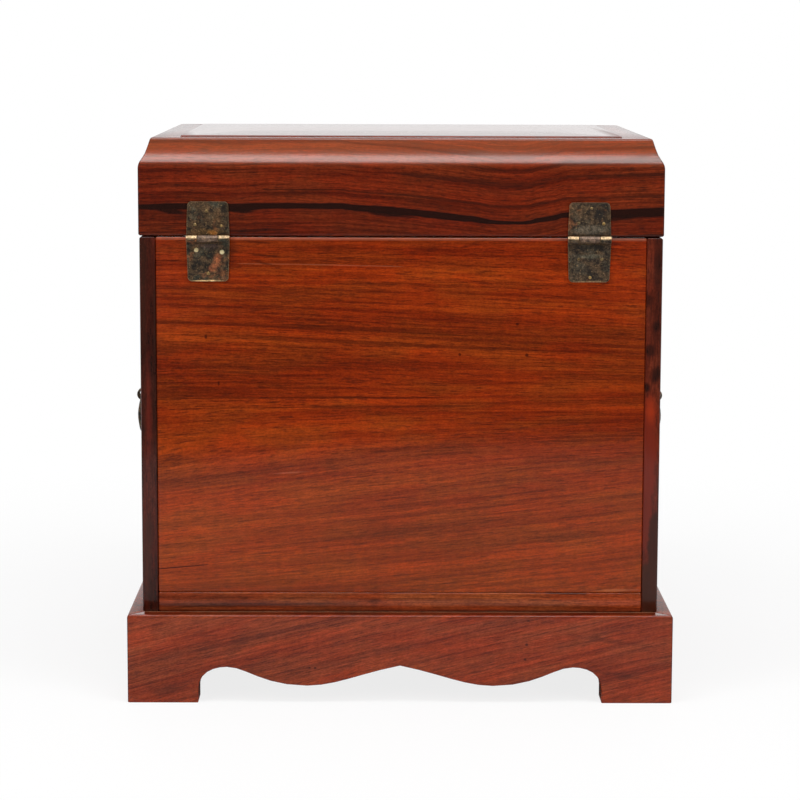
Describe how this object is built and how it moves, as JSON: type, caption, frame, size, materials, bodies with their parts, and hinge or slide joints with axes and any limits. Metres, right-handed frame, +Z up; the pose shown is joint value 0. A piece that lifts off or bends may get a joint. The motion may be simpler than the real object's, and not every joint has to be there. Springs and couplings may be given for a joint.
{
  "type": "seal chest",
  "caption": "Small rosewood chest with a coved hinged lid over a tray, a pair of doors, drawers behind them, a scalloped plinth and old brass fittings.",
  "frame": {"origin": "centre of the bounding box's underside, on the surface the plinth's feet stand on, with the two doors standing open at right angles", "axes": "+Z up, +X across the chest, and the front with its doors faces -Y"},
  "size_m": [0.3454, 0.4318, 0.3533],
  "materials": {
    "rosewood": "waxed figured rosewood, orange-brown with dark pores",
    "dark_rosewood": "waxed dark red-brown rosewood, straight grain",
    "drawer_wood": "bare pale secondary wood",
    "brass": "old sheet brass with a dark patina, worn bright on its knuckles and nails"
  },
  "bodies": {
    "case": {"side_board_left": "dark_rosewood", "side_board_right": "dark_rosewood", "back_board": "rosewood", "back_strip": "rosewood", "bottom_board": "rosewood", "tray_floor": "rosewood", "front_rail": "rosewood", "lower_shelf": "rosewood", "upper_shelf": "rosewood", "drawer_divider": "rosewood", "plinth_front": "rosewood", "plinth_right": "rosewood", "plinth_back": "rosewood", "plinth_left": "rosewood", "rear_hinge_case_leaf_left": "brass", "rear_hinge_case_leaf_right": "brass", "side_leaf_lower_left": "brass", "side_leaf_upper_left": "brass", "side_leaf_lower_right": "brass", "side_leaf_upper_right": "brass", "rail_lock_plate": "brass", "handle_plate_left": "brass", "handle_plate_right": "brass"},
    "lid": {"lid_front": "rosewood", "lid_right": "rosewood", "lid_back": "rosewood", "lid_left": "rosewood", "lid_panel": "rosewood", "rear_hinge_lid_leaf_left": "brass", "rear_hinge_lid_leaf_right": "brass", "lid_lock_plate": "brass"},
    "hasp": {"hasp": "brass"},
    "left_door": {"door_left": "rosewood", "door_leaf_lower_left": "brass", "door_leaf_upper_left": "brass", "door_lock_plate_left": "brass"},
    "right_door": {"door_right": "rosewood", "door_leaf_lower_right": "brass", "door_leaf_upper_right": "brass", "door_lock_plate_right": "brass"},
    "left_door_pull": {"door_pull_left": "brass"},
    "right_door_pull": {"door_pull_right": "brass"},
    "bottom_drawer": {"bottom_drawer_front": "rosewood", "bottom_drawer_tray": "drawer_wood", "bottom_drawer_pull_plate": "brass"},
    "middle_drawer": {"middle_drawer_front": "rosewood", "middle_drawer_tray": "drawer_wood", "middle_drawer_pull_plate": "brass"},
    "top_left_drawer": {"top_left_drawer_front": "rosewood", "top_left_drawer_tray": "drawer_wood", "top_left_drawer_pull_plate": "brass"},
    "top_right_drawer": {"top_right_drawer_front": "rosewood", "top_right_drawer_tray": "drawer_wood", "top_right_drawer_pull_plate": "brass"},
    "bottom_drawer_tag": {"bottom_drawer_pull": "brass"},
    "middle_drawer_tag": {"middle_drawer_pull": "brass"},
    "top_left_drawer_tag": {"top_left_drawer_pull": "brass"},
    "top_right_drawer_tag": {"top_right_drawer_pull": "brass"},
    "left_bail": {"handle_bail_left": "brass"},
    "right_bail": {"handle_bail_right": "brass"}
  },
  "joints": [
    {"name": "lid_hinge", "type": "hinge", "parent": "case", "child": "lid", "pos_m": [0, 0.20785, 0.2896], "axis": [-1, 0, 0], "range_deg": [0, 180]},
    {"name": "hasp_hinge", "type": "hinge", "parent": "lid", "child": "hasp", "pos_m": [0, -0.05485, 0.2953], "axis": [-1, 0, 0], "range_deg": [-182, 0]},
    {"name": "left_door_hinge", "type": "hinge", "parent": "case", "child": "left_door", "pos_m": [-0.1634, -0.05295, 0.15325], "axis": [0, 0, -1], "range_deg": [-90, 150]},
    {"name": "right_door_hinge", "type": "hinge", "parent": "case", "child": "right_door", "pos_m": [0.1634, -0.05295, 0.15325], "axis": [0, 0, 1], "range_deg": [-90, 150]},
    {"name": "left_door_pull_swing", "type": "hinge", "parent": "left_door", "child": "left_door_pull", "pos_m": [-0.1646, -0.20195, 0.15325], "axis": [0, 1, 0], "range_deg": [0, 150]},
    {"name": "right_door_pull_swing", "type": "hinge", "parent": "right_door", "child": "right_door_pull", "pos_m": [0.1646, -0.20195, 0.15325], "axis": [0, -1, 0], "range_deg": [0, 150]},
    {"name": "bottom_drawer_slide", "type": "slide", "parent": "case", "child": "bottom_drawer", "axis": [0, -1, 0], "range_m": [0, 0.165]},
    {"name": "middle_drawer_slide", "type": "slide", "parent": "case", "child": "middle_drawer", "axis": [0, -1, 0], "range_m": [0, 0.165]},
    {"name": "top_left_drawer_slide", "type": "slide", "parent": "case", "child": "top_left_drawer", "axis": [0, -1, 0], "range_m": [0, 0.165]},
    {"name": "top_right_drawer_slide", "type": "slide", "parent": "case", "child": "top_right_drawer", "axis": [0, -1, 0], "range_m": [0, 0.165]},
    {"name": "bottom_drawer_pull_swing", "type": "hinge", "parent": "bottom_drawer", "child": "bottom_drawer_tag", "pos_m": [0, -0.03515, 0.09755], "axis": [-1, 0, 0], "range_deg": [0, 150]},
    {"name": "middle_drawer_pull_swing", "type": "hinge", "parent": "middle_drawer", "child": "middle_drawer_tag", "pos_m": [0, -0.03515, 0.1633], "axis": [-1, 0, 0], "range_deg": [0, 150]},
    {"name": "top_left_drawer_pull_swing", "type": "hinge", "parent": "top_left_drawer", "child": "top_left_drawer_tag", "pos_m": [-0.0775, -0.03515, 0.2198], "axis": [-1, 0, 0], "range_deg": [0, 150]},
    {"name": "top_right_drawer_pull_swing", "type": "hinge", "parent": "top_right_drawer", "child": "top_right_drawer_tag", "pos_m": [0.0775, -0.03515, 0.2198], "axis": [-1, 0, 0], "range_deg": [0, 150]},
    {"name": "left_bail_swing", "type": "hinge", "parent": "case", "child": "left_bail", "pos_m": [-0.168, 0.07745, 0.18], "axis": [0, 1, 0], "range_deg": [0, 150]},
    {"name": "right_bail_swing", "type": "hinge", "parent": "case", "child": "right_bail", "pos_m": [0.168, 0.07745, 0.18], "axis": [0, -1, 0], "range_deg": [0, 150]}
  ]
}
